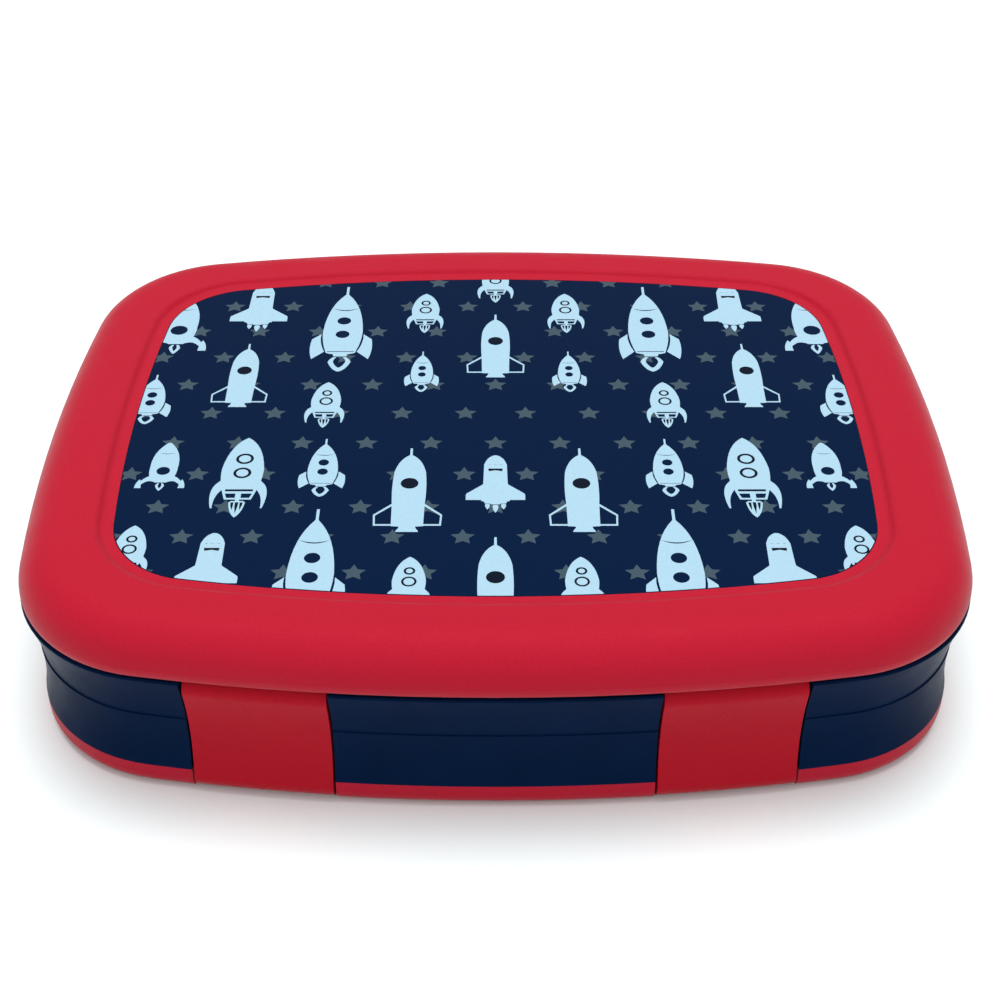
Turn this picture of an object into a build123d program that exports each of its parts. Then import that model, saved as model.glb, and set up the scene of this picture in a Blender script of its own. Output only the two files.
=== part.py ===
"""Children's compartment lunch box: a waisted tub with a soft bottom bumper, five lift-out food cups,
a hinged lid with a soft frame and a printed panel, and two pull-out latches.

Frame: origin on the ground under the middle of the box, +X along its width, +Y to the hinge side, +Z up.
Millimetres. The lid is shut and both latches are pressed home.
"""
import math
import os

from build123d import *

# ---- plan outlines: half width, half depth, bow of the long sides, bow of the short sides, corner radius
LID_OUTLINE = (108.0, 86.2, 13.2, 7.6, 35.1)
BASE_OUTLINE = (106.1, 82.5, 13.1, 3.7, 34.4)
PANEL_OUTLINE = (86.7, 66.1, 9.35, 4.65, 21.1)

# ---- lid heights and sections
RIM_BOTTOM = 34.3
RIM_LOWER_ROUND = 4.25
RIM_UPPER_ROUND = 9.55
RIM_TOP = RIM_BOTTOM + RIM_LOWER_ROUND + RIM_UPPER_ROUND
RIM_WIDEST = RIM_BOTTOM + RIM_LOWER_ROUND
SOFT_SKIN = 2.2
SHELL_TOP = RIM_TOP - SOFT_SKIN
FRAME_DEPTH = 24.0
CAVITY_INSET = 6.0
CAVITY_STEP = 3.0
PLATE_THICK = 2.0
PANEL_TOP = 47.0
PANEL_GAP = 0.1
BORDER_FLAT = 2.0
BORDER_STEP = 2.6
BORDER_SINK = 0.05
COVER_BOTTOM = 34.9
COVER_TOP = 36.4
COVER_INSET = 7.0
POST_RADIUS = 3.0
POST_PLACES = [(-84, -48), (-84, 48), (84, -48), (84, 48), (0, -56), (0, 62)]
OVERCUT = 3.0

# ---- tub heights and sections (insets are measured inwards from BASE_OUTLINE)
FOOT_ROUND = 4.0
BAND_TOP = 6.7
BAND_SKIN = 2.2
FOOT_THICK = 2.0
FOOT_INNER_ROUND = 2.0
FOOT_RING = 14.0
FLOOR_THICK = 2.0
WAIST_Z = 16.2
WAIST_RADIUS = 49.9
STEP_Z = 21.2
STEP_DEPTH = 0.3
TUB_TOP = 34.0
TUB_EDGE_ROUND = 0.6
INNER_FACE = -3.2
INNER_ROUND = 3.0
LEDGE_Z = 31.2
LIP_INNER = -0.9

# ---- food cups, whose flanges tile the mouth of the tub
FLANGE_INSET = 1.4
CUP_TOP = 33.0
FLANGE_THICK = 1.8
CUP_WALL = 1.4
CUP_FLOOR = 6.0
EAR_RELIEF = 4.6
EAR_RELIEF_X = (36.0, 64.0)
CELL_INSET = 6.6
CELL_FRONT = 6.6
CELL_ROUND = 5.0
CELL_CORNER = 11.0
DIVIDER = 5.0
TILE_GAP = 0.3
CELL_SIDE_X = 97.0
CELL_FRONT_Y = -80.0
CELL_REAR_Y = 76.0
SPLIT_X = 29.0
SPLIT_Y = 17.0
DIP_CENTRE = (3.5, 47.0)
DIP_RADIUS = 22.0
SEAL_WIDTH = 1.8
SEAL_MARGIN = 0.3
SEAL_BOTTOM = 33.2

# ---- latches and their hinge on the lid
LATCH_MID_X = 50.5
LATCH_HALF = 15.5
LATCH_SLOT = 0.5
LATCH_BOTTOM = 0.5
LATCH_LIP_Z = 4.9
LATCH_FOOT_ROUND = 4.4
LATCH_BACK = -3.1
DETENT_BACK = -3.65
DETENT_TOP = 9.5
DETENT_SLOPE = 0.6
AXIS_INSET = 2.3
AXIS_Z = 30.6
BARREL_RADIUS = 2.75
BARREL_HALF = 20.0
POCKET_BACK = -4.05
POCKET_WALL = 1.8
POCKET_WALL_TOP = 33.4
CUP_PLAY = 0.6
UPPER_POCKET_Z = 25.4
UPPER_POCKET_BACK = -9.0
POCKET_SLOPE = 2.5
CATCH_Z = 14.0
CATCH_HEIGHT = 1.6
CATCH_REACH = 0.6
CATCH_BEVEL = 0.5
CATCH_SHORTER = 5.0
PIN_RADIUS = 1.0
PIN_PLAY = 0.06
LUG_SPACING = 8.0
LUG_WIDTH = 4.0
LUG_EYE = 2.0
LUG_PLAY = 0.35
LUG_FOOT = (-3.6, -6.3)
LUG_SHOULDER = 1.6
LUG_SLOT_FRONT = 2.1

# ---- rear hinge
HINGE_Y = 83.4
HINGE_Z = 36.0
KNUCKLE_RADIUS = 2.6
KNUCKLE_PLAY = 0.35
HINGE_MID_X = 50.0
LID_KNUCKLE_WIDTH = 12.0
EAR_WIDTH = 4.2
SIDE_PLAY = 0.3
REAR_GROOVE = 3.45
PIN_SHORTER = 0.4
EAR_NECK = [(2.25, -1.3), (-2.5, -7.0), (-4.6, -7.0), (-4.6, -2.6), (-2.9, -2.2), (-2.25, 0.0)]
BARREL_NECK = [(2.25, -1.3), (-1.4, -5.5), (-1.8, -5.5), (-1.8, 0.0)]
KNUCKLE_ARM = [(-1.0, 2.4), (-3.2, 6.0), (-6.5, 6.0), (-6.5, 0.4), (-2.3, -1.2)]
BARREL_END = HINGE_MID_X - LID_KNUCKLE_WIDTH / 2 - SIDE_PLAY
EAR_START = HINGE_MID_X + LID_KNUCKLE_WIDTH / 2 + SIDE_PLAY
EAR_END = EAR_START + EAR_WIDTH
PIN_START = BARREL_END - EAR_WIDTH


class Outline:
    """A bowed rectangle: four shallow arcs joined by four tangent corner arcs."""

    def __init__(self, half_width, half_depth, long_bow, short_bow, corner):
        self.long_radius = (half_width**2 + long_bow**2) / (2 * long_bow)
        self.short_radius = (half_depth**2 + short_bow**2) / (2 * short_bow)
        self.corner = corner
        self.front_y = self.long_radius - half_depth
        self.side_x = half_width - self.short_radius
        reach_y, reach_x = self.long_radius - corner, self.short_radius - corner
        gap = math.hypot(self.side_x, self.front_y)
        along = (reach_y**2 - reach_x**2 + gap**2) / (2 * gap)
        across = math.sqrt(reach_y**2 - along**2)
        ux, uy = self.side_x / gap, -self.front_y / gap
        self.corner_x = along * ux - across * uy
        self.corner_y = self.front_y + along * uy + across * ux

    def arcs(self):
        """Each arc as (centre x, centre y, radius, start angle, turn), anticlockwise from +X."""
        cx, cy = self.corner_x, -self.corner_y
        side = math.degrees(math.atan2(cy, cx - self.side_x))
        front = math.degrees(math.atan2(cy + self.front_y, cx))
        return [
            (self.side_x, 0.0, self.short_radius, -side, 2 * side),
            (cx, cy, self.corner, side, front - side),
            (0.0, -self.front_y, self.long_radius, front, 180 - 2 * front),
            (-cx, cy, self.corner, 180 - front, front - side),
            (-self.side_x, 0.0, self.short_radius, 180 - side, 2 * side),
            (-cx, -cy, self.corner, 180 + side, front - side),
            (0.0, self.front_y, self.long_radius, 180 + front, 180 - 2 * front),
            (cx, -cy, self.corner, -front, front - side),
        ]

    def face(self, out=0.0):
        """The filled outline, grown outwards by the distance out."""
        edges = [CenterArc((x, y), radius + out, start, turn) for x, y, radius, start, turn in self.arcs()]
        return make_face(edges)

    def prism(self, out, low, high):
        """An upright solid of the grown outline between two heights."""
        return Pos(0, 0, low) * extrude(self.face(out), high - low)

    def ring(self, profile, arcs=None):
        """Carry a section, drawn as (distance outside the outline, height), round the outline."""
        wedges = []
        for x, y, radius, start, turn in arcs or self.arcs():
            facing = Vector(1, 0, 0).rotate(Axis.Z, start)
            plane = Plane(origin=(x, y, 0), x_dir=facing, z_dir=facing.cross(Vector(0, 0, 1)))
            section = plane * (Pos(radius, 0) * profile)
            wedges.append(revolve(section, Axis((x, y, 0), (0, 0, 1)), turn))
        return wedges[0] if len(wedges) == 1 else Part() + wedges

    def front_ring(self, profile):
        """The same, along the front long side only."""
        return self.ring(profile, [self.arcs()[6]])


def section(*edges):
    """A closed face from edges given in order; a pair of points stands for a straight edge."""
    lines = []
    for edge in edges:
        if not isinstance(edge, tuple):
            lines.append(edge)
        elif math.dist(*edge) > 1e-6:
            lines.append(Line(*edge))
    return make_face(lines)


def polygon(*points):
    """A closed flat face with straight sides."""
    return make_face(Polyline(*points, close=True))


def box(low, high):
    """A solid box between two corners."""
    size = [b - a for a, b in zip(low, high)]
    middle = [(a + b) / 2 for a, b in zip(low, high)]
    return Pos(*middle) * Box(*size)


def mirrored_pair(shape):
    """A solid and its mirror image across the middle of the box."""
    return [shape, mirror(shape, Plane.YZ)]


def rod_x(radius, x_low, x_high, y, z):
    """A round bar along X."""
    plane = Plane(origin=(x_low, y, z), x_dir=(0, 1, 0), z_dir=(1, 0, 0))
    return extrude(plane * Circle(radius), x_high - x_low)


lid = Outline(*LID_OUTLINE)
tub = Outline(*BASE_OUTLINE)
panel = Outline(*PANEL_OUTLINE)


# ---------------------------------------------------------------- the waisted wall
WALL_DEPTH = math.sqrt(WAIST_RADIUS**2 - (BAND_TOP - WAIST_Z) ** 2)


def wall_out(z, inset=0.0):
    """How far the hollow-ground wall stands outside BASE_OUTLINE at a height."""
    return WALL_DEPTH - math.sqrt((WAIST_RADIUS + inset) ** 2 - (z - WAIST_Z) ** 2)


def wall_arc(low, high, inset=0.0):
    """The wall's section between two heights, as one arc."""
    points = [(wall_out(z, inset), z) for z in (low, (low + high) / 2, high)]
    return ThreePointArc(*points)


# ---------------------------------------------------------------- tub
def latch_frame(side):
    """Where a latch hinge sits: local X along its pin, local Y outwards, local Z up. side is +1 or -1."""
    radius = tub.long_radius - AXIS_INSET
    lean = math.asin(LATCH_MID_X / radius)
    outwards = Vector(side * math.sin(lean), -math.cos(lean), 0)
    centre = Vector(0, tub.front_y, 0) + outwards * radius + Vector(0, 0, AXIS_Z)
    return Plane(origin=centre, x_dir=outwards.cross(Vector(0, 0, 1)), z_dir=(0, 0, 1))


def pin_bar(frame, radius, half_length, offset=0.0):
    """A round bar on a latch hinge axis."""
    return frame.location * (Pos(offset, 0, 0) * (Rot(0, 90, 0) * Cylinder(radius, 2 * half_length)))


def pocket_section():
    """What a latch pocket removes from the front wall, in the wall's section."""
    far = 8.0
    return polygon(
        (far, -1),
        (far, TUB_TOP + 1),
        (UPPER_POCKET_BACK, TUB_TOP + 1),
        (UPPER_POCKET_BACK, UPPER_POCKET_Z),
        (POCKET_BACK, UPPER_POCKET_Z - POCKET_SLOPE),
        (POCKET_BACK, -1),
    )


def pocket_wall_section():
    """The inner wall that closes a latch pocket off from the inside of the tub."""
    back = UPPER_POCKET_BACK - POCKET_WALL
    low_back = POCKET_BACK - POCKET_WALL
    return polygon(
        (-BAND_SKIN, POCKET_WALL_TOP),
        (back, POCKET_WALL_TOP),
        (back, UPPER_POCKET_Z - POCKET_WALL),
        (low_back, UPPER_POCKET_Z - POCKET_SLOPE - POCKET_WALL),
        (low_back, FOOT_THICK + 1),
        (-BAND_SKIN, FOOT_THICK + 1),
    )


def latch_slab(grow):
    """An upright slab as wide as the right latch, square to its pin and grown by grow on both sides."""
    half = LATCH_HALF + grow
    return latch_frame(1).location * box((-half, -20, -AXIS_Z - OVERCUT), (half, 20, AXIS_Z))


def tub_wall_section():
    """The tub's wall: set back behind the bottom bumper, hollow above it, with a ledge for the cups."""
    foot, bend = -BAND_SKIN, FOOT_INNER_ROUND
    floor_top = FOOT_THICK + FLOOR_THICK
    step_top = STEP_Z + STEP_DEPTH / 2
    top_out = wall_out(TUB_TOP - TUB_EDGE_ROUND, STEP_DEPTH)
    start = (INNER_FACE - INNER_ROUND, FOOT_THICK)
    return section(
        (start, (foot - bend, FOOT_THICK)),
        RadiusArc((foot - bend, FOOT_THICK), (foot, FOOT_THICK + bend), -bend),
        ((foot, FOOT_THICK + bend), (foot, BAND_TOP)),
        ((foot, BAND_TOP), (0, BAND_TOP)),
        wall_arc(BAND_TOP, STEP_Z),
        ((wall_out(STEP_Z), STEP_Z), (wall_out(step_top, STEP_DEPTH), step_top)),
        wall_arc(step_top, TUB_TOP - TUB_EDGE_ROUND, STEP_DEPTH),
        RadiusArc((top_out, TUB_TOP - TUB_EDGE_ROUND), (top_out - TUB_EDGE_ROUND, TUB_TOP), -TUB_EDGE_ROUND),
        ((top_out - TUB_EDGE_ROUND, TUB_TOP), (LIP_INNER, TUB_TOP)),
        ((LIP_INNER, TUB_TOP), (LIP_INNER, LEDGE_Z)),
        ((LIP_INNER, LEDGE_Z), (INNER_FACE, LEDGE_Z)),
        ((INNER_FACE, LEDGE_Z), (INNER_FACE, floor_top + INNER_ROUND)),
        RadiusArc((INNER_FACE, floor_top + INNER_ROUND), (start[0], floor_top), INNER_ROUND),
        ((start[0], floor_top), start),
    )


def hinge_ear(x_low, x_high, neck):
    """A round eye or barrel of the tub, with a neck that slopes down into the rear wall."""
    plane = Plane(origin=(x_low, HINGE_Y, HINGE_Z), x_dir=(0, 1, 0), z_dir=(1, 0, 0))
    shape = Circle(KNUCKLE_RADIUS) + polygon(*neck)
    return extrude(plane * shape, x_high - x_low)


def base_shell():
    """Navy tub with latch pockets in front, catch ribs in them, and hinge ears behind."""
    shell = tub.ring(tub_wall_section())
    shell += tub.prism(INNER_FACE - INNER_ROUND, FOOT_THICK, FOOT_THICK + FLOOR_THICK)
    pocket = tub.front_ring(pocket_section())
    walls = tub.front_ring(pocket_wall_section())
    openings = mirrored_pair(latch_slab(LATCH_SLOT))
    linings = mirrored_pair(latch_slab(LATCH_SLOT + POCKET_WALL))
    for opening, lining in zip(openings, linings):
        shell += walls & lining
        shell -= pocket & opening
    catch_foot, catch_tip = POCKET_BACK - CATCH_BEVEL, POCKET_BACK + CATCH_REACH
    catch = polygon(
        (catch_foot, CATCH_Z),
        (catch_tip, CATCH_Z + CATCH_BEVEL),
        (catch_tip, CATCH_Z + CATCH_HEIGHT - CATCH_BEVEL),
        (catch_foot, CATCH_Z + CATCH_HEIGHT),
    )
    for slab in mirrored_pair(latch_slab(-CATCH_SHORTER)):
        shell += tub.front_ring(catch) & slab
    shell += hinge_ear(-BARREL_END, BARREL_END, BARREL_NECK)
    for ear in mirrored_pair(hinge_ear(EAR_START, EAR_END, EAR_NECK)):
        shell += ear
    for hole in mirrored_pair(rod_x(PIN_RADIUS, PIN_START, EAR_END + 1, HINGE_Y, HINGE_Z)):
        shell -= hole
    half = LID_KNUCKLE_WIDTH / 2 + SIDE_PLAY
    room = rod_x(KNUCKLE_RADIUS + KNUCKLE_PLAY, HINGE_MID_X - half, HINGE_MID_X + half, HINGE_Y, HINGE_Z)
    for notch in mirrored_pair(room):
        shell -= notch
    return shell


def base_bumper():
    """Soft red band round the foot of the tub, turned under as a foot ring and broken at the latches."""
    bend = FOOT_INNER_ROUND
    wrap = section(
        RadiusArc((-FOOT_ROUND, 0), (0, FOOT_ROUND), -FOOT_ROUND),
        ((0, FOOT_ROUND), (0, BAND_TOP)),
        ((0, BAND_TOP), (-BAND_SKIN, BAND_TOP)),
        ((-BAND_SKIN, BAND_TOP), (-BAND_SKIN, FOOT_THICK + bend)),
        RadiusArc((-BAND_SKIN, FOOT_THICK + bend), (-BAND_SKIN - bend, FOOT_THICK), bend),
        ((-BAND_SKIN - bend, FOOT_THICK), (-FOOT_RING, FOOT_THICK)),
        ((-FOOT_RING, FOOT_THICK), (-FOOT_RING, 0)),
        ((-FOOT_RING, 0), (-FOOT_ROUND, 0)),
    )
    bumper = tub.ring(wrap)
    pocket = tub.front_ring(pocket_section())
    for slab in mirrored_pair(latch_slab(LATCH_SLOT)):
        bumper -= pocket & slab
    return bumper


# ---------------------------------------------------------------- food tray
def cell_sketches():
    """The open outline of each cup, by name."""
    left, right, front, rear = -CELL_SIDE_X, CELL_SIDE_X, CELL_FRONT_Y, CELL_REAR_Y
    dip_left, dip_right = DIP_CENTRE[0] - DIP_RADIUS, DIP_CENTRE[0] + DIP_RADIUS
    gap = DIVIDER / 2
    room = tub.face(-CELL_INSET) & (Pos(0, CELL_FRONT) * tub.face(-CELL_INSET))

    def cell(x_low, x_high, y_low, y_high):
        sketch = Pos((x_low + x_high) / 2, (y_low + y_high) / 2) * Rectangle(x_high - x_low, y_high - y_low)
        sketch = sketch & room
        return fillet(sketch.vertices(), CELL_CORNER)

    return {
        "sandwich": cell(left, SPLIT_X - gap, front, SPLIT_Y - gap),
        "side": cell(SPLIT_X + gap, right, front, SPLIT_Y - gap),
        "fruit": cell(left, dip_left - DIVIDER, SPLIT_Y + gap, rear),
        "vegetable": cell(dip_right + DIVIDER, right, SPLIT_Y + gap, rear),
        "dip": Pos(*DIP_CENTRE) * Circle(DIP_RADIUS),
    }


def flange_plate():
    """The flanges of all cups as one plate, with room for the latch pockets and the hinge ears."""
    plate = tub.prism(-FLANGE_INSET, CUP_TOP - FLANGE_THICK, CUP_TOP)
    notch_back = UPPER_POCKET_BACK - POCKET_WALL - CUP_PLAY
    cut = tub.front_ring(polygon((8, 20), (8, 40), (notch_back, 40), (notch_back, 20)))
    for slab in mirrored_pair(latch_slab(LATCH_SLOT + POCKET_WALL + CUP_PLAY)):
        plate -= cut & slab
    near_ears = box((EAR_RELIEF_X[0], 60, 25), (EAR_RELIEF_X[1], 90, 40))
    for outer in mirrored_pair(near_ears):
        plate -= outer & tub.prism(5, 25, 40) - tub.prism(-EAR_RELIEF, 24, 41)
    return plate


def flange_tiles():
    """The share of the flange plate that belongs to each cup, by name, as (low x, high x, low y, high y)."""
    far = LID_OUTLINE[0]
    dip_low = DIP_CENTRE[0] - DIP_RADIUS - DIVIDER / 2
    dip_high = DIP_CENTRE[0] + DIP_RADIUS + DIVIDER / 2
    return {
        "sandwich": (-far, SPLIT_X, -far, SPLIT_Y),
        "side": (SPLIT_X, far, -far, SPLIT_Y),
        "fruit": (-far, dip_low, SPLIT_Y, far),
        "vegetable": (dip_high, far, SPLIT_Y, far),
        "dip": (dip_low, dip_high, SPLIT_Y, far),
    }


def food_cup(sketch, plate, tile):
    """Lift-out cup: a rounded pan and its tile of the flange, which rests on the tub's ledge."""
    x_low, x_high, y_low, y_high = tile
    gap = TILE_GAP / 2
    cup = plate & box((x_low + gap, y_low + gap, 0), (x_high - gap, y_high - gap, RIM_TOP))
    pan = Pos(0, 0, CUP_FLOOR - CUP_WALL) * extrude(offset(sketch, CUP_WALL), CUP_TOP - CUP_FLOOR)
    cup += fillet(pan.faces().sort_by(Axis.Z)[0].edges(), CELL_ROUND + CUP_WALL)
    hollow = Pos(0, 0, CUP_FLOOR) * extrude(sketch, CUP_TOP - CUP_FLOOR + 1)
    return cup - fillet(hollow.faces().sort_by(Axis.Z)[0].edges(), CELL_ROUND)


def seal_loop(sketch):
    """Silicone lip under the lid that closes on the rim of one compartment."""
    loop = offset(sketch, SEAL_MARGIN + SEAL_WIDTH) - offset(sketch, SEAL_MARGIN)
    return Pos(0, 0, SEAL_BOTTOM) * extrude(loop, COVER_BOTTOM - SEAL_BOTTOM)


# ---------------------------------------------------------------- lid
def rim_section(skin):
    """Outer section of the lid, set in by skin: a small round below, a large round above."""
    low = RIM_LOWER_ROUND - skin
    high = RIM_UPPER_ROUND - skin
    deep = -FRAME_DEPTH
    return section(
        ((deep, RIM_BOTTOM), (-RIM_LOWER_ROUND, RIM_BOTTOM)),
        ((-RIM_LOWER_ROUND, RIM_BOTTOM), (-RIM_LOWER_ROUND, RIM_WIDEST - low)),
        RadiusArc((-RIM_LOWER_ROUND, RIM_WIDEST - low), (-skin, RIM_WIDEST), -low),
        RadiusArc((-skin, RIM_WIDEST), (-RIM_UPPER_ROUND, RIM_WIDEST + high), -high),
        ((-RIM_UPPER_ROUND, RIM_WIDEST + high), (deep, RIM_WIDEST + high)),
        ((deep, RIM_WIDEST + high), (deep, RIM_BOTTOM)),
    )


def lid_core():
    """The hard shell's outer shape, under the soft frame."""
    return lid.ring(rim_section(SOFT_SKIN)) + lid.prism(-FRAME_DEPTH, RIM_BOTTOM, SHELL_TOP)


def hinge_room():
    """Space that the tub's hinge barrel and ears need in the rear of the lid."""
    end = EAR_END + SIDE_PLAY
    groove = rod_x(REAR_GROOVE, -end, end, HINGE_Y, HINGE_Z)
    front, rear = HINGE_Y - REAR_GROOVE, LID_OUTLINE[1] + OVERCUT
    below = box((-end, front, RIM_BOTTOM - OVERCUT), (end, rear, HINGE_Z))
    return groove + below


def lid_shell():
    """Hard navy lid: top plate, outer wall, weld posts, hinge knuckles behind and latch lugs in front."""
    shell = lid_core()
    ceiling = SHELL_TOP - PLATE_THICK
    shell -= lid.prism(-CAVITY_INSET, RIM_BOTTOM - OVERCUT, ceiling - CAVITY_STEP)
    shell -= lid.prism(-CAVITY_INSET - CAVITY_STEP, RIM_BOTTOM - OVERCUT, ceiling)
    shell -= hinge_room()
    post_top = ceiling + PLATE_THICK / 2
    for x, y in POST_PLACES:
        shell += Pos(x, y, COVER_TOP) * extrude(Circle(POST_RADIUS), post_top - COVER_TOP)
    for knuckle in mirrored_pair(lid_knuckle()):
        shell += knuckle
    half = LID_KNUCKLE_WIDTH / 2 + 1
    bore = rod_x(PIN_RADIUS + PIN_PLAY, HINGE_MID_X - half, HINGE_MID_X + half, HINGE_Y, HINGE_Z)
    for hole in mirrored_pair(bore):
        shell -= hole
    for side in (-1, 1):
        frame = latch_frame(side)
        for step in (-LUG_SPACING, LUG_SPACING):
            shell += frame.location * (Pos(step, 0, 0) * latch_lug())
        shell -= pin_bar(frame, PIN_RADIUS, LUG_SPACING + LUG_WIDTH)
    return shell


def lid_knuckle():
    """The lid's eye on the rear hinge, with an arm into the rear wall."""
    half = LID_KNUCKLE_WIDTH / 2
    plane = Plane(origin=(HINGE_MID_X - half, HINGE_Y, HINGE_Z), x_dir=(0, 1, 0), z_dir=(1, 0, 0))
    return extrude(plane * (Circle(KNUCKLE_RADIUS) + polygon(*KNUCKLE_ARM)), LID_KNUCKLE_WIDTH)


def latch_lug():
    """An eye for the latch pin on a foot that reaches inwards and then up into the lid."""
    eye = Circle(LUG_EYE)
    front, back = LUG_FOOT
    top = SHELL_TOP - PLATE_THICK / 2 - AXIS_Z
    corner = (front, LUG_SHOULDER)
    foot = polygon((0, -LUG_EYE), (0, LUG_SHOULDER), corner, (front, top), (back, top), (back, -LUG_EYE))
    plane = Plane(origin=(-LUG_WIDTH / 2, 0, 0), x_dir=(0, 1, 0), z_dir=(1, 0, 0))
    return extrude(plane * (eye + foot), LUG_WIDTH)


def lid_bumper():
    """Soft red frame over the lid's edge, with a low flat border round the panel."""
    frame = lid.ring(rim_section(0.0)) + lid.prism(-FRAME_DEPTH, RIM_BOTTOM, RIM_TOP)
    frame -= lid_core()
    frame -= lid.prism(-RIM_LOWER_ROUND, RIM_BOTTOM - OVERCUT, SHELL_TOP - OVERCUT)
    edge_z = PANEL_TOP - BORDER_SINK
    frame -= panel.prism(PANEL_GAP, SHELL_TOP - 1, RIM_TOP + 1)
    half, rise = BORDER_STEP / 2, (RIM_TOP - edge_z) / 2
    bend = (half**2 + rise**2) / (2 * rise)
    inner, outer, above = -1.0, BORDER_FLAT + BORDER_STEP, RIM_TOP + OVERCUT
    low, mid, high = (BORDER_FLAT, edge_z), (BORDER_FLAT + half, edge_z + rise), (outer, RIM_TOP)
    border = section(
        ((inner, edge_z), low),
        RadiusArc(low, mid, -bend),
        RadiusArc(mid, high, bend),
        (high, (outer, above)),
        ((outer, above), (inner, above)),
        ((inner, above), (inner, edge_z)),
    )
    frame -= panel.ring(border)
    frame -= hinge_room()
    for knuckle in mirrored_pair(lid_knuckle()):
        frame -= knuckle
    return frame


def print_panel():
    """Thin inlay that carries the printed picture."""
    return panel.prism(0, SHELL_TOP, PANEL_TOP)


def inner_cover():
    """Flat plate under the lid that carries the seals, notched round the latch lugs and hinges."""
    plate = lid.prism(-COVER_INSET, COVER_BOTTOM, COVER_TOP)
    end = LUG_SPACING + LUG_WIDTH
    notch = box((-end, LUG_FOOT[1] - SIDE_PLAY, 0), (end, 8, 12))
    for side in (-1, 1):
        plate -= latch_frame(side).location * notch
    plate -= hinge_room()
    for arm in mirrored_pair(box((HINGE_MID_X - 8, HINGE_Y - 8, 30), (HINGE_MID_X + 8, HINGE_Y + 5, 40))):
        plate -= arm
    return plate


# ---------------------------------------------------------------- latches and pins
def latch(side):
    """A pull-out latch: its face follows the tub's hollow wall and rounds over its hinge at the top."""
    lip = wall_out(LATCH_LIP_Z)
    reach = math.hypot(WALL_DEPTH + AXIS_INSET, AXIS_Z - WAIST_Z)
    head_round = reach - WAIST_RADIUS
    head = AXIS_Z + head_round
    neck = AXIS_Z - head_round * (AXIS_Z - WAIST_Z) / reach
    slope_top = DETENT_TOP + DETENT_SLOPE
    plate = section(
        wall_arc(LATCH_LIP_Z, neck),
        RadiusArc((wall_out(neck), neck), (-AXIS_INSET, head), -head_round),
        ((-AXIS_INSET, head), (LATCH_BACK, head)),
        ((LATCH_BACK, head), (LATCH_BACK, slope_top)),
        ((LATCH_BACK, slope_top), (DETENT_BACK, DETENT_TOP)),
        ((DETENT_BACK, DETENT_TOP), (DETENT_BACK, LATCH_BOTTOM)),
        RadiusArc((DETENT_BACK, LATCH_BOTTOM), (lip, LATCH_LIP_Z), -LATCH_FOOT_ROUND),
    )
    slab = latch_slab(0.0)
    if side < 0:
        slab = mirror(slab, Plane.YZ)
    frame = latch_frame(side)
    body = tub.front_ring(plate) & slab
    body += pin_bar(frame, BARREL_RADIUS, BARREL_HALF) & slab
    body -= pin_bar(frame, PIN_RADIUS + PIN_PLAY, LUG_SPACING + LUG_WIDTH + SIDE_PLAY)
    half = LUG_WIDTH / 2 + SIDE_PLAY
    room = LUG_EYE + LUG_PLAY
    for step in (-LUG_SPACING, LUG_SPACING):
        body -= frame.location * box((step - half, -9, 0), (step + half, LUG_SLOT_FRONT, 6))
        body -= frame.location * box((step - half, -9, -room), (step + half, 0, 1))
        body -= pin_bar(frame, room, half, step)
    return body


def latch_pin(side):
    """Steel pin fixed in the lid's lugs."""
    return pin_bar(latch_frame(side), PIN_RADIUS, LUG_SPACING + LUG_WIDTH)


def hinge_pin(side):
    """Steel pin fixed in the tub's ears."""
    pin = rod_x(PIN_RADIUS, PIN_START, EAR_END - PIN_SHORTER, HINGE_Y, HINGE_Z)
    return pin if side > 0 else mirror(pin, Plane.YZ)


def build():
    """Every piece by node name."""
    cells = cell_sketches()
    nodes = {
        "base_shell": base_shell(),
        "base_bumper": base_bumper(),
        "lid_shell": lid_shell(),
        "lid_bumper": lid_bumper(),
        "print_panel": print_panel(),
        "inner_cover": inner_cover(),
    }
    plate, tiles = flange_plate(), flange_tiles()
    for name, sketch in cells.items():
        nodes["cup_" + name] = food_cup(sketch, plate, tiles[name])
        nodes["seal_" + name] = seal_loop(sketch)
    for side, word in ((-1, "left"), (1, "right")):
        nodes["latch_" + word] = latch(side)
        nodes["latch_pin_" + word] = latch_pin(side)
        nodes["hinge_pin_" + word] = hinge_pin(side)
    return nodes


def main():
    os.makedirs("parts", exist_ok=True)
    for name, shape in build().items():
        export_step(shape, f"parts/{name}.step")
        print(name, len(shape.solids()), round(shape.volume))


main()
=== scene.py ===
"""Looks for the lunch box: materials for every CAD piece, a printed lid panel, floor, light and camera."""
import math

import bmesh
import bpy
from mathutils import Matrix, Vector
from mathutils.geometry import delaunay_2d_cdt


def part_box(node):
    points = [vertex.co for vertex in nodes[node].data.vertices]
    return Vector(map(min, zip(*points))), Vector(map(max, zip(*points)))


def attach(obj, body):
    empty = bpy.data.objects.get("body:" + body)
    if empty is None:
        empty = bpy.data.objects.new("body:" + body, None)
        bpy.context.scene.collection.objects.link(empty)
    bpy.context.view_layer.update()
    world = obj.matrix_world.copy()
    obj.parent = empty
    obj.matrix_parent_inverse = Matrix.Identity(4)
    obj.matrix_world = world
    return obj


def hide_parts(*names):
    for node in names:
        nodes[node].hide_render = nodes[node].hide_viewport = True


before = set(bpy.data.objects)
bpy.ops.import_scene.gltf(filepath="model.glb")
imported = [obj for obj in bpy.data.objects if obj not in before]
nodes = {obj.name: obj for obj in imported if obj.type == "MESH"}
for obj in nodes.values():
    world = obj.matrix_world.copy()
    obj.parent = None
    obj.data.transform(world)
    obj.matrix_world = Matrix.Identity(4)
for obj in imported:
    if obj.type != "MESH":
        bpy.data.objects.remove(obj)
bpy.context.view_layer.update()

MM = 0.001


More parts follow.
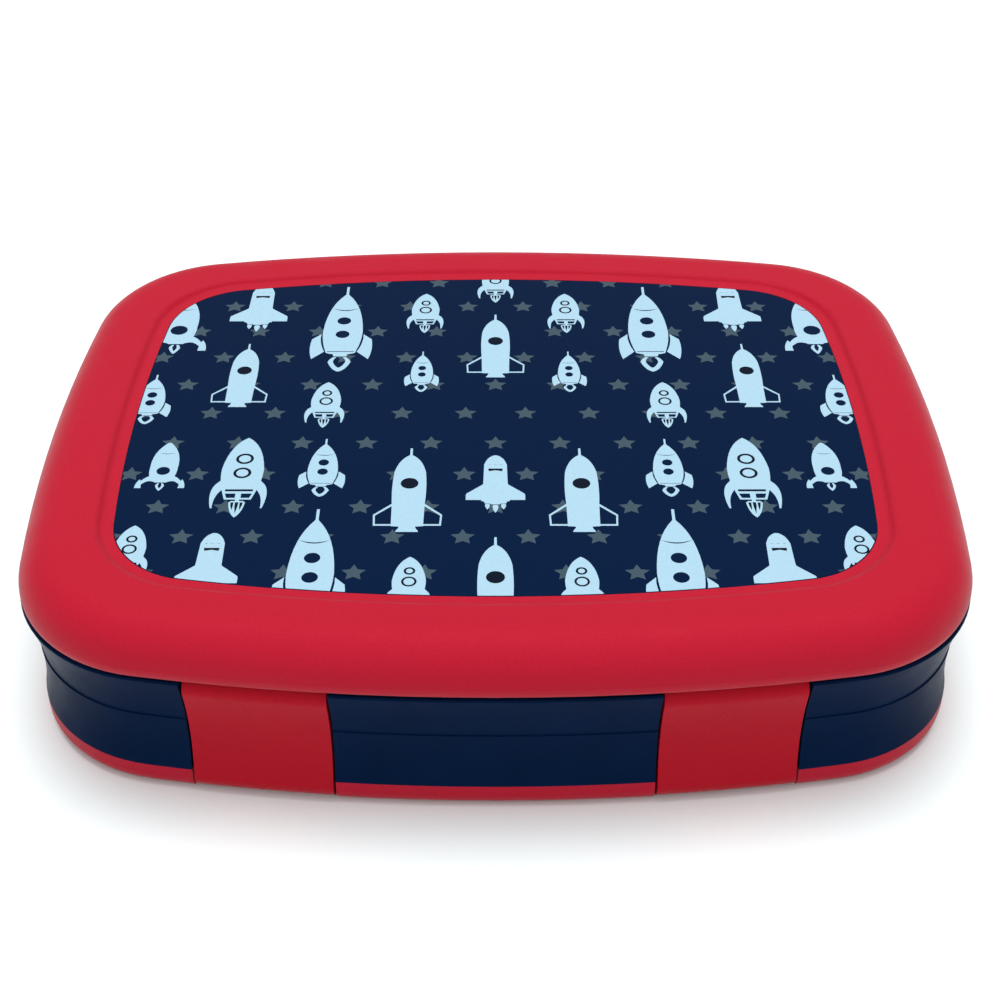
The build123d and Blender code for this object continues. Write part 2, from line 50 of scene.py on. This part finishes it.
# ---------------------------------------------------------------- colours, linear
NAVY = (0.0018, 0.0097, 0.0370)
SOFT_RED = (0.405, 0.0100, 0.0265)
LATCH_RED = (0.385, 0.0080, 0.0185)
CUP_BLUE = (0.360, 0.620, 0.780)
COVER_BLUE = (0.420, 0.680, 0.820)
SILICONE = (0.750, 0.840, 0.880)
STEEL = (0.62, 0.62, 0.63)
INK_BLUE = (0.335, 0.515, 0.630)
INK_STAR = (0.047, 0.076, 0.098)
INK_SLATE = (0.036, 0.056, 0.084)
INK_DARK = (0.0050, 0.0080, 0.0180)
BLUE_GLOSS = (0.20, 0.50, 1.0, 1)
RED_GLOSS = (1.0, 0.25, 0.32, 1)
FLOOR_WHITE = (0.81, 0.86, 0.865)


# ---------------------------------------------------------------- materials
class Surface:
    """A Principled material with helpers for patterns that are sized in millimetres."""

    # a cloud pattern keeps almost wholly between these two values
    PATTERN_LOW, PATTERN_HIGH = 0.3, 0.7

    def __init__(self, name, colour, roughness, **sockets):
        self.material = bpy.data.materials.new(name)
        self.material.use_nodes = True
        self.tree = self.material.node_tree
        self.shader = self.tree.nodes["Principled BSDF"]
        self.shader.inputs["Base Color"].default_value = (*colour, 1)
        self.shader.inputs["Roughness"].default_value = roughness
        for socket, value in sockets.items():
            self.shader.inputs[socket.replace("_", " ").title()].default_value = value
        self.colour = colour
        self.roughness = roughness
        self.place = self.tree.nodes.new("ShaderNodeTexCoord").outputs["Object"]
        self.height = None

    def shine(self, level, tint):
        """How strong the reflections are, and their tint."""
        self.shader.inputs["Specular IOR Level"].default_value = level
        self.shader.inputs["Specular Tint"].default_value = tint

    def node(self, kind, **values):
        """Add a shader node and fill in some of its inputs."""
        made = self.tree.nodes.new(kind)
        for name, value in values.items():
            made.inputs[name].default_value = value
        return made

    def noise(self, size_mm, detail=2.0, stretch=None):
        """A cloud pattern whose blobs are about size_mm across."""
        made = self.node("ShaderNodeTexNoise", Scale=1 / (size_mm * MM), Detail=detail)
        place = self.place
        if stretch:
            mapping = self.node("ShaderNodeMapping")
            mapping.inputs["Scale"].default_value = stretch
            self.tree.links.new(place, mapping.inputs["Vector"])
            place = mapping.outputs["Vector"]
        self.tree.links.new(place, made.inputs["Vector"])
        return made.outputs["Fac"]

    def spread(self, pattern, low, high):
        """Turn a pattern into numbers between low and high."""
        made = self.node("ShaderNodeMapRange")
        made.inputs["From Min"].default_value = self.PATTERN_LOW
        made.inputs["From Max"].default_value = self.PATTERN_HIGH
        made.inputs["To Min"].default_value = low
        made.inputs["To Max"].default_value = high
        self.tree.links.new(pattern, made.inputs["Value"])
        return made.outputs["Result"]

    def tint(self, pattern, dark, light):
        """Vary the colour between two strengths of itself."""
        ramp = self.node("ShaderNodeValToRGB")
        first, last = ramp.color_ramp.elements
        first.position, last.position = self.PATTERN_LOW, self.PATTERN_HIGH
        first.color = (*(min(1, c * dark) for c in self.colour), 1)
        last.color = (*(min(1, c * light) for c in self.colour), 1)
        self.tree.links.new(pattern, ramp.inputs["Fac"])
        self.tree.links.new(ramp.outputs["Color"], self.shader.inputs["Base Color"])

    def gloss(self, pattern, change):
        """Vary the roughness by plus and minus change."""
        spread = self.spread(pattern, self.roughness - change, self.roughness + change)
        self.tree.links.new(spread, self.shader.inputs["Roughness"])

    def bump(self, pattern, depth_mm, strength):
        """Raise the surface by a pattern, on top of any bump already there."""
        made = self.node("ShaderNodeBump", Strength=strength, Distance=depth_mm * MM)
        self.tree.links.new(pattern, made.inputs["Height"])
        if self.height:
            self.tree.links.new(self.height, made.inputs["Normal"])
        self.height = made.outputs["Normal"]
        self.tree.links.new(self.height, self.shader.inputs["Normal"])


def soft_red():
    """Soft-touch elastomer: matte, with a fine speckled grain."""
    made = Surface("soft red elastomer", SOFT_RED, 0.50, sheen_weight=0.10, sheen_roughness=0.4)
    made.shine(0.08, RED_GLOSS)
    made.tint(made.noise(0.45, 3.0), 0.93, 1.06)
    made.gloss(made.noise(9.0), 0.05)
    made.bump(made.noise(0.35, 2.0), 0.018, 0.8)
    made.bump(made.noise(14.0, 1.0), 0.05, 0.25)
    return made.material


def navy_plastic():
    """Satin moulded polypropylene with a faint spark-eroded texture."""
    made = Surface("navy polypropylene", NAVY, 0.34)
    made.shine(0.02, BLUE_GLOSS)
    made.tint(made.noise(11.0, 2.0), 0.92, 1.10)
    made.gloss(made.noise(5.0, 3.0), 0.04)
    made.bump(made.noise(0.30, 2.0), 0.008, 0.6)
    made.bump(made.noise(22.0, 1.0), 0.06, 0.3)
    return made.material


def latch_red():
    """Harder, glossier red of the latches."""
    made = Surface("latch red plastic", LATCH_RED, 0.28)
    made.shine(0.06, RED_GLOSS)
    made.tint(made.noise(12.0, 2.0), 0.98, 1.02)
    made.gloss(made.noise(6.0, 2.0), 0.015)
    made.bump(made.noise(0.40, 2.0), 0.005, 0.5)
    made.bump(made.noise(20.0, 1.0), 0.02, 0.3)
    return made.material


def pale_plastic(name, colour):
    """Satin food-safe plastic, very slightly translucent."""
    made = Surface(name, colour, 0.38, subsurface_weight=0.08, subsurface_scale=0.004)
    made.tint(made.noise(12.0, 2.0), 0.97, 1.03)
    made.gloss(made.noise(4.0, 2.0), 0.04)
    made.bump(made.noise(0.35, 2.0), 0.007, 0.6)
    made.bump(made.noise(18.0, 1.0), 0.05, 0.3)
    return made.material


def silicone():
    """Milky seal silicone."""
    made = Surface("seal silicone", SILICONE, 0.45, subsurface_weight=0.25, subsurface_scale=0.003)
    made.tint(made.noise(3.0, 2.0), 0.96, 1.02)
    made.gloss(made.noise(1.5, 2.0), 0.05)
    made.bump(made.noise(0.25, 2.0), 0.01, 0.6)
    return made.material


def steel():
    """Pin wire, ground along its length."""
    along = (0.05, 1, 1)
    made = Surface("ground steel", STEEL, 0.28, metallic=1.0)
    made.tint(made.noise(0.5, 2.0, along), 0.85, 1.05)
    made.gloss(made.noise(0.2, 2.0, along), 0.06)
    made.bump(made.noise(0.15, 2.0, along), 0.003, 0.6)
    return made.material


def ink(name, colour, roughness=0.34):
    """One colour of the printed film, with the film's faint waviness."""
    made = Surface(name, colour, roughness)
    made.shine(0.03, BLUE_GLOSS)
    made.tint(made.noise(0.6, 3.0), 0.97, 1.03)
    made.gloss(made.noise(6.0, 2.0), 0.04)
    made.bump(made.noise(0.5, 2.0), 0.004, 0.5)
    made.bump(made.noise(16.0, 1.0), 0.03, 0.3)
    return made.material


def floor_white():
    """Matte white studio paper."""
    made = Surface("white paper", FLOOR_WHITE, 0.9)
    made.tint(made.noise(2.0, 3.0), 0.995, 1.005)
    made.bump(made.noise(1.2, 3.0), 0.02, 0.3)
    return made.material


def dress(names, material):
    """Give CAD pieces a material."""
    for name in names:
        for material_slot in nodes[name].material_slots:
            material_slot.material = material


cups = [name for name in nodes if name.startswith("cup_")]
seals = [name for name in nodes if name.startswith("seal_")]
pins = [name for name in nodes if "pin_" in name]
dress(["base_shell", "lid_shell"], navy_plastic())
dress(["base_bumper", "lid_bumper"], soft_red())
dress(["latch_left", "latch_right"], latch_red())
dress(cups, pale_plastic("cup blue plastic", CUP_BLUE))
dress(["inner_cover"], pale_plastic("cover blue plastic", COVER_BLUE))
dress(seals, silicone())
dress(pins, steel())


# ---------------------------------------------------------------- flat drawing, in millimetres
def bow(start, end, sag, steps=8):
    """Points from start towards end, without end, on a curve that bulges by sag.

    A positive sag bulges outwards on the right half of a rocket, drawn from the top down.
    """
    (ax, ay), (bx, by) = start, end
    rise = 4 * sag / math.dist(start, end)
    points = []
    for step in range(steps):
        t = step / steps
        lift = rise * t * (1 - t)
        points.append((ax + (bx - ax) * t + (by - ay) * lift, ay + (by - ay) * t - (bx - ax) * lift))
    return points


def both_sides(half):
    """A closed outline from its right half, listed from top to bottom."""
    return half + [(-x, y) for x, y in reversed(half) if x]


def twins(shape):
    """A shape and its mirror image."""
    return [shape, [(-x, y) for x, y in shape]]


def circle(radius, steps=28):
    """A round outline about the middle of its own frame."""
    turns = [2 * math.pi * step / steps for step in range(steps)]
    return [(radius * math.cos(turn), radius * math.sin(turn)) for turn in turns]


# A rocket is drawn in a frame of its own: x is a share of its width, and y a share of its height,
# down from the tip. Each entry is (ink, outline), or (ink, (height, radius)) for a porthole, which
# stays round at any width.
def needle_rocket():
    """Long rocket with an aerial, two portholes, swept side fins and a ring of flame."""
    side = bow((0.03, 0.10), (0.324, 0.54), 0.07) + bow((0.324, 0.54), (0.24, 0.775), 0.022)
    body = [(0.0, 0.0), (0.021, 0.0), (0.021, 0.09)] + side
    body += [(0.235, 0.79), (0.178, 0.80), (0.118, 0.805), (0.104, 0.83), (0.0, 0.83)]
    fin = [(0.345, 0.575)] + bow((0.485, 0.634), (0.455, 0.86), 0.03) + [(0.455, 0.86)]
    fin += bow((0.262, 0.776), (0.352, 0.60), -0.018)
    horn = bow((0.06, 0.838), (0.183, 0.893), 0.018) + bow((0.183, 0.893), (0.0, 1.0), 0.022)
    horn += [(0.0, 1.0)] + bow((0.0, 0.957), (0.10, 0.89), -0.012)
    horn += bow((0.10, 0.89), (0.045, 0.845), -0.012)
    band = bow((0.225, 0.265), (-0.225, 0.265), 0.022)
    band += bow((-0.225, 0.265), (0.225, 0.265), -0.032)
    shapes = [("blue", both_sides(body))]
    shapes += [("blue", shape) for shape in twins(fin) + twins(horn)]
    shapes += [("navy", band), ("navy", [(-0.215, 0.772), (0.215, 0.772), (0.215, 0.779), (-0.215, 0.779)])]
    shapes += [("navy", (0.417, 0.113)), ("navy", (0.576, 0.113))]
    return shapes


RING_WIDTH = 0.052


def claw_rocket(rings=((0.275, 0.160), (0.455, 0.160))):
    """Pointed rocket with two ring portholes, claw fins, a slotted nozzle and a striped flame."""
    side = bow((0.0, 0.0), (0.373, 0.396), 0.078) + bow((0.373, 0.396), (0.347, 0.573), 0.01)
    claw = bow((0.39, 0.575), (0.497, 0.73), 0.028) + bow((0.497, 0.73), (0.447, 0.89), 0.01)
    claw += [(0.447, 0.89), (0.418, 0.89)] + bow((0.418, 0.89), (0.31, 0.672), -0.04)
    body = side + claw + [(0.31, 0.665), (0.235, 0.785), (0.035, 0.785), (0.035, 0.803), (0.0, 0.803)]
    flame = [(0.0, 0.803), (0.105, 0.803), (0.145, 0.82)]
    flame += bow((0.145, 0.82), (0.0, 1.0), 0.03) + [(0.0, 1.0)]
    middle = [(0.0, 0.818), (0.03, 0.818), (0.026, 0.87), (0.0, 0.955)]
    strip = [(0.055, 0.82), (0.108, 0.82), (0.098, 0.86), (0.068, 0.915), (0.056, 0.87)]
    window = [(0.05, 0.712), (0.238, 0.712), (0.2, 0.765), (0.05, 0.765)]
    shapes = [("blue", both_sides(body)), ("blue", both_sides(flame)), ("dark", both_sides(middle))]
    shapes += [("dark", shape) for shape in twins(strip)]
    shapes += [("navy", shape) for shape in twins(window)]
    shapes.append(("dark", [(-0.245, 0.66), (0.245, 0.66), (0.245, 0.685), (-0.245, 0.685)]))
    for height, radius in rings:
        shapes += [("dark", (height, radius)), ("blue", (height, radius - RING_WIDTH))]
    return shapes


def small_claw_rocket():
    """The same with a smaller upper porthole."""
    return claw_rocket(((0.245, 0.130), (0.425, 0.172)))


def winged_rocket():
    """Straight rocket with an aerial, one dark porthole, open wings and a skirt."""
    body = [(0.0, 0.0), (0.017, 0.0), (0.02, 0.085)] + bow((0.025, 0.088), (0.235, 0.30), 0.036)
    body += bow((0.235, 0.30), (0.24, 0.68), 0.014) + [(0.24, 0.68), (0.232, 0.935), (0.12, 0.94)]
    body += bow((0.12, 0.95), (0.165, 0.985), -0.005, 4) + [(0.165, 1.0), (0.0, 1.0)]
    wing = [(0.235, 0.675), (0.5, 0.805), (0.488, 0.93), (0.22, 0.93)]
    wing += [(0.22, 0.912), (0.462, 0.912), (0.472, 0.815), (0.235, 0.703)]
    shapes = [("blue", both_sides(body)), ("dark", (0.433, 0.132))]
    return shapes + [("blue", shape) for shape in twins(wing)]


def shuttle():
    """Delta-winged shuttle with a slit window and three small flames."""
    body = [(0.0, 0.0), (0.03, 0.002)] + bow((0.03, 0.002), (0.19, 0.165), 0.03)
    body += [(0.195, 0.165), (0.208, 0.50), (0.216, 0.518)] + bow((0.49, 0.675), (0.5, 0.73), 0.004, 3)
    body += [(0.5, 0.783), (0.245, 0.783), (0.235, 0.803), (0.195, 0.808), (0.185, 0.835)]
    body += [(0.17, 0.845), (0.10, 0.845), (0.06, 0.858), (0.0, 0.858)]
    slit = [(-0.125, 0.237), (0.125, 0.237), (0.115, 0.285), (0.0, 0.268), (-0.115, 0.285)]
    drop = [(0.0, 0.0), (0.8, 0.05), (1.0, 0.25), (0.75, 0.62), (0.0, 1.0)]
    shapes = [("blue", both_sides(body)), ("dark", slit)]
    flames = [(-0.135, 0.85, 0.095, 0.042), (0, 0.866, 0.134, 0.05), (0.135, 0.85, 0.095, 0.042)]
    for middle, top, length, half in flames:
        shapes.append(("blue", [(middle + half * x, top + length * y) for x, y in both_sides(drop)]))
    for middle in (-0.1, 0.0, 0.1):
        shapes.append(("slate", [(middle - 0.035, 0.166), (middle + 0.035, 0.166), (middle, 0.172)]))
    return shapes


def lander():
    """Egg-shaped rocket on two bent legs, with one porthole."""
    side = bow((0.03, 0.006), (0.276, 0.54), 0.085) + bow((0.276, 0.54), (0.25, 0.705), 0.01)
    leg = bow((0.25, 0.705), (0.39, 0.80), 0.012, 4) + [(0.395, 0.80)]
    leg += bow((0.42, 0.769), (0.493, 0.935), 0.02, 5)
    leg += [(0.493, 0.944), (0.365, 0.944), (0.375, 0.88)]
    leg += bow((0.372, 0.868), (0.215, 0.795), -0.012, 4)
    body = [(0.0, 0.0)] + side + leg + [(0.2, 0.805), (0.145, 0.815), (0.11, 0.832), (0.0, 0.832)]
    horn = bow((0.03, 0.842), (0.088, 0.90), 0.012, 5) + bow((0.088, 0.90), (0.0, 1.0), 0.01, 5)
    horn += [(0.0, 1.0)] + bow((0.0, 0.952), (0.036, 0.89), -0.006, 5)
    horn += bow((0.036, 0.89), (0.012, 0.85), -0.004, 4)
    band = bow((0.165, 0.218), (-0.165, 0.218), 0.016)
    band += bow((-0.165, 0.218), (0.165, 0.218), -0.026)
    shapes = [("blue", both_sides(body)), ("navy", (0.594, 0.135)), ("navy", band)]
    return shapes + [("blue", shape) for shape in twins(horn)]


STAR_RADIUS = 2.8
STAR_WAIST = 0.5
STAR_TIPS = 5


def star():
    """A star about its own middle, with one tip up."""
    points = []
    for step in range(2 * STAR_TIPS):
        radius = STAR_RADIUS * (STAR_WAIST if step % 2 else 1)
        turn = math.radians(90 + 180 / STAR_TIPS * step)
        points.append((radius * math.cos(turn), radius * math.sin(turn)))
    return points


# (rocket, distance from the middle line, height of its tip on the panel, height, width), all mirrored
ROCKETS = [
    (needle_rocket, 39.5, 62.0, 41.5, 15.8),
    (needle_rocket, 39.8, -36.0, 41.5, 15.8),
    (needle_rocket, 18.4, 29.8, 18.4, 8.6),
    (needle_rocket, 84.3, 19.0, 21.5, 10.7),
    (needle_rocket, 40.0, -8.7, 22.6, 10.8),
    (small_claw_rocket, 0.0, 73.7, 19.7, 9.7),
    (small_claw_rocket, 18.4, 58.5, 19.7, 9.7),
    (small_claw_rocket, 41.4, 15.7, 19.7, 9.7),
    (claw_rocket, 58.5, -8.2, 30.8, 13.0),
    (small_claw_rocket, 80.0, -41.9, 19.7, 9.7),
    (small_claw_rocket, 18.5, -52.9, 19.7, 9.7),
    (winged_rocket, 0.0, 47.8, 29.9, 14.6),
    (winged_rocket, 62.9, 33.4, 28.6, 13.8),
    (winged_rocket, 19.7, -12.5, 31.7, 15.5),
    (winged_rocket, 0.0, -46.1, 31.7, 15.5),
    (shuttle, 62.0, 63.0, 23.6, 15.0),
    (shuttle, 0.0, -15.3, 22.0, 13.5),
    (shuttle, 62.0, -44.6, 22.0, 13.6),
    (lander, 82.0, 56.7, 28.0, 16.4),
    (lander, 76.9, -10.2, 18.9, 11.6),
]
ROW_PITCH = 24.85
# (height of the top of the stars, distance of the first star from the middle line, pitch along the row)
STAR_ROWS = [(67.0 - ROW_PITCH * step, 0.0, 15.25) for step in range(5)] + [(-55.5, 0.0, 15.25)]
STAR_ROWS += [(54.6 - ROW_PITCH * step, 7.25, 15.4) for step in range(4)] + [(-43.2, 7.25, 15.52)]
STARS_A_SIDE = 6


def printed_shapes():
    """Every printed shape on the panel as (ink, points), lowest layer first."""
    shapes = []
    for top, offset, pitch in STAR_ROWS:
        places = {sign * (offset + pitch * step) for step in range(STARS_A_SIDE) for sign in (-1, 1)}
        for x in sorted(places):
            shapes.append(("star", [(x + dx, top - STAR_RADIUS + dy) for dx, dy in star()]))
    for rocket, across, tip, height, width in ROCKETS:
        for x in sorted({-across, across}):
            for colour, drawing in rocket():
                if isinstance(drawing, tuple):
                    depth, radius = drawing
                    points = [(x + dx, tip - height * depth + dy) for dx, dy in circle(radius * width)]
                else:
                    points = [(x + width * u, tip - height * v) for u, v in drawing]
                shapes.append((colour, points))
    return shapes


# ---------------------------------------------------------------- printed lid panel
PANEL_BOWS = (9.35, 4.65)
PANEL_CORNER = 21.1
PANEL_BEVEL = 0.15
# the cut gives whole faces that a mesh can hold, and points closer together than this become one
WHOLE_FACES = 4
CUT_PRECISION = 1e-4


def panel_outline(inset, low, high):
    """The panel's bowed rectangle of eight tangent arcs, moved inwards by inset, in millimetres."""
    half_x, half_y = (high.x - low.x) / 2 / MM, (high.y - low.y) / 2 / MM
    long_radius = (half_x**2 + PANEL_BOWS[0] ** 2) / (2 * PANEL_BOWS[0])
    short_radius = (half_y**2 + PANEL_BOWS[1] ** 2) / (2 * PANEL_BOWS[1])
    front_y, side_x = long_radius - half_y, half_x - short_radius
    reach_y, reach_x = long_radius - PANEL_CORNER, short_radius - PANEL_CORNER
    gap = math.hypot(side_x, front_y)
    along = (reach_y**2 - reach_x**2 + gap**2) / (2 * gap)
    across = math.sqrt(reach_y**2 - along**2)
    corner_x = (along * side_x + across * front_y) / gap
    corner_y = -(front_y + (-along * front_y + across * side_x) / gap)
    side = math.atan2(corner_y, corner_x - side_x)
    front = math.atan2(corner_y + front_y, corner_x)
    quarter = [
        (side_x, 0.0, short_radius, 0.0, side, 10),
        (corner_x, corner_y, PANEL_CORNER, side, front, 16),
        (0.0, -front_y, long_radius, front, math.pi / 2, 14),
    ]
    points = []
    for x, y, radius, start, end, steps in quarter:
        for step in range(steps):
            turn = start + (end - start) * step / steps
            points.append((x + (radius - inset) * math.cos(turn), y + (radius - inset) * math.sin(turn)))
    points.append((0.0, half_y - inset))
    left = [(-x, y) for x, y in reversed(points[:-1])]
    upper = points + left
    return upper + [(x, -y) for x, y in reversed(upper[1:-1])]


def signed_area(points):
    """Positive where the outline runs anticlockwise."""
    return sum(a[0] * b[1] - b[0] * a[1] for a, b in zip(points, points[1:] + points[:1])) / 2


def cut_film(shapes, order, top):
    """A flat sheet at height top, cut along every outline. The topmost shape over a face gives its ink."""
    points, outlines = [], []
    for _, outline in shapes:
        if signed_area(outline) < 0:
            outline = outline[::-1]
        outlines.append(list(range(len(points), len(points) + len(outline))))
        points += [Vector(point) for point in outline]
    flat, _, faces, _, _, sources = delaunay_2d_cdt(points, [], outlines, WHOLE_FACES, CUT_PRECISION)
    mesh = bmesh.new()
    vertices = [mesh.verts.new((point.x * MM, point.y * MM, top)) for point in flat]
    for face, source in zip(faces, sources):
        if 0 not in source:
            continue
        made = mesh.faces.new([vertices[index] for index in face])
        made.material_index = order.index(shapes[max(source)][0])
    loose = [vertex for vertex in mesh.verts if not vertex.link_faces]
    bmesh.ops.delete(mesh, geom=loose, context="VERTS")
    return mesh


def add_skirt(mesh, rim, drop, spread):
    """Extrude the rim of a sheet down by drop and outwards by spread, and return the new rim."""
    outwards = {}
    for edge in rim:
        a, b = edge.verts
        normal = Vector((a.co.y - b.co.y, b.co.x - a.co.x, 0)).normalized()
        if normal.dot(a.co) < 0:
            normal.negate()
        for vertex in (a, b):
            outwards[vertex] = outwards.get(vertex, Vector()) + normal
    made = bmesh.ops.extrude_edge_only(mesh, edges=rim)["geom"]
    by_place = {tuple(item.co): item for item in made if isinstance(item, bmesh.types.BMVert)}
    for vertex, normal in outwards.items():
        below = by_place[tuple(vertex.co)]
        below.co += normal.normalized() * spread - Vector((0, 0, drop))
    for item in made:
        if isinstance(item, bmesh.types.BMFace):
            item.material_index = 0
    return [item for item in made if isinstance(item, bmesh.types.BMEdge)]


def printed_panel():
    """Film inlay whose top face is cut along every printed shape, one material for each ink."""
    low, high = (Vector(corner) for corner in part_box("print_panel"))
    inks = {
        "navy": ink("film navy", NAVY),
        "star": ink("ink grey green", INK_STAR),
        "blue": ink("ink light blue", INK_BLUE, 0.38),
        "slate": ink("ink slate", INK_SLATE),
        "dark": ink("ink dark", INK_DARK),
    }
    shapes = [("navy", panel_outline(PANEL_BEVEL, low, high))] + printed_shapes()
    mesh = cut_film(shapes, list(inks), high.z)
    bevel = PANEL_BEVEL * MM
    rim = [edge for edge in mesh.edges if edge.is_boundary]
    rim = add_skirt(mesh, rim, bevel, bevel)
    rim = add_skirt(mesh, rim, high.z - low.z - bevel, 0)
    bmesh.ops.contextual_create(mesh, geom=rim)
    bmesh.ops.recalc_face_normals(mesh, faces=mesh.faces)
    data = bpy.data.meshes.new("printed_lid_panel")
    mesh.to_mesh(data)
    mesh.free()
    for material in inks.values():
        data.materials.append(material)
    panel = bpy.data.objects.new("printed_lid_panel", data)
    bpy.context.scene.collection.objects.link(panel)
    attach(panel, "lid")
    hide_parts("print_panel")


printed_panel()


# ---------------------------------------------------------------- floor, light and camera
FLOOR_HALF = 40.0
WORLD_STRENGTH = 0.10
# place in metres, tilt below level in degrees, lens and sensor in millimetres, shift in picture widths
CAMERA_PLACE = (0, -0.35358, 0.29142)
CAMERA_DOWN = 36.33
CAMERA_LENS = 64.15
CAMERA_SENSOR = 36
CAMERA_SHIFT = (0.0045, -0.0297)


def floor():
    """A sheet of white paper under the box, so large that its far edge stays near the horizon."""
    data = bpy.data.meshes.new("floor")
    corners = [(x * FLOOR_HALF, y * FLOOR_HALF, 0) for x, y in ((-1, -1), (1, -1), (1, 1), (-1, 1))]
    data.from_pydata(corners, [], [(0, 1, 2, 3)])
    data.materials.append(floor_white())
    made = bpy.data.objects.new("floor", data)
    bpy.context.scene.collection.objects.link(made)


# name, power, apparent width in degrees, tilt about X, Y and Z in degrees
SOFT_LIGHTS = [
    ("overhead", 2.75, 42, (-8, 0, 0)),
    ("front", 1.25, 80, (42, 0, 0)),
    ("rear", 0.5, 80, (-45, 0, 0)),
    ("left", 0.3, 80, (30, -45, 0)),
    ("right", 0.3, 80, (30, 45, 0)),
]


def daylight():
    """Dim white surroundings, with broad soft lights from above, front, rear and both sides."""
    world = bpy.data.worlds.new("studio")
    world.use_nodes = True
    world.node_tree.nodes["Background"].inputs["Color"].default_value = (1, 1, 1, 1)
    world.node_tree.nodes["Background"].inputs["Strength"].default_value = WORLD_STRENGTH
    bpy.context.scene.world = world
    for name, power, spread, tilt in SOFT_LIGHTS:
        light = bpy.data.lights.new(name, "SUN")
        light.energy = power
        light.angle = math.radians(spread)
        made = bpy.data.objects.new(name, light)
        made.rotation_euler = [math.radians(angle) for angle in tilt]
        bpy.context.scene.collection.objects.link(made)


def camera():
    """Above and in front of the box, looking down at it."""
    lens = bpy.data.cameras.new("camera")
    lens.sensor_width = CAMERA_SENSOR
    lens.lens = CAMERA_LENS
    lens.shift_x, lens.shift_y = CAMERA_SHIFT
    made = bpy.data.objects.new("camera", lens)
    made.location = CAMERA_PLACE
    made.rotation_euler = (math.radians(90 - CAMERA_DOWN), 0, 0)
    bpy.context.scene.collection.objects.link(made)
    bpy.context.scene.camera = made


floor()
daylight()
camera()
bpy.context.scene.view_settings.view_transform = "Standard"
